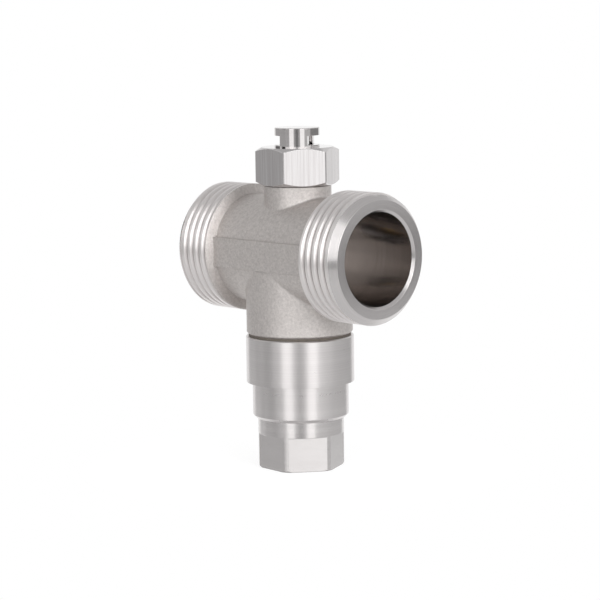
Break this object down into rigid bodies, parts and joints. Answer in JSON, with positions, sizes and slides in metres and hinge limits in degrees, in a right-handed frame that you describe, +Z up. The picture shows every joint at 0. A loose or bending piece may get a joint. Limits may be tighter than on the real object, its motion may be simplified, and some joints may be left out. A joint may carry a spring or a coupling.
{
  "type": "anti-freeze valve",
  "caption": "Tee-shaped anti-freeze valve with two threaded pipe ends, an air inlet under a hexagon and cap on top, and a wax-driven drain cartridge with a flatted nozzle below.",
  "frame": {"origin": "on the drain's axis at the foot of the nozzle, which is the centre of the box's underside", "axes": "+Z up along the drain's axis, X along the pipe, and the flat pad faces -Y"},
  "size_m": [0.059, 0.0332, 0.0877],
  "materials": {
    "cast_body": "blasted matt nickel plate over a casting",
    "turned_hexagon": "bright turned nickel plate",
    "turned_cartridge": "satin turned nickel plate",
    "bare_brass": "turned, unplated",
    "spring_steel": "drawn stainless wire and strip",
    "fibre_gasket": "matt fibre",
    "black_rubber": "moulded matt rubber",
    "white_plastic": "moulded matt plastic"
  },
  "bodies": {
    "valve": {"valve_body": "cast_body", "breaker_gasket": "fibre_gasket", "breaker_body": "turned_hexagon", "breaker_cap": "turned_hexagon", "breaker_guide": "white_plastic", "breaker_circlip": "spring_steel", "breaker_spring": "spring_steel", "cartridge_gasket": "fibre_gasket", "cartridge_body": "turned_cartridge", "strainer_plate": "spring_steel", "strainer_circlip": "spring_steel", "overtravel_spring": "spring_steel", "wax_capsule": "bare_brass", "capsule_guide": "white_plastic", "return_spring": "spring_steel", "seat_insert": "bare_brass", "seat_o_ring": "black_rubber", "seat_circlip": "spring_steel", "drain_nozzle": "turned_cartridge", "nozzle_o_ring": "black_rubber"},
    "poppet": {"breaker_poppet": "bare_brass", "breaker_seal": "black_rubber"},
    "shutter": {"shutter": "bare_brass", "shutter_seal": "black_rubber", "wax_piston": "spring_steel"}
  },
  "joints": [
    {"name": "poppet_slide", "type": "slide", "parent": "valve", "child": "poppet", "axis": [0, 0, -1], "range_m": [0, 0.0018], "stiffness_N_per_m": 50, "springref_m": -0.003, "deforming": ["breaker_spring"]},
    {"name": "shutter_slide", "type": "slide", "parent": "valve", "child": "shutter", "axis": [0, 0, 1], "range_m": [0, 0.0025], "stiffness_N_per_m": 200, "springref_m": -0.002, "deforming": ["return_spring"]}
  ]
}
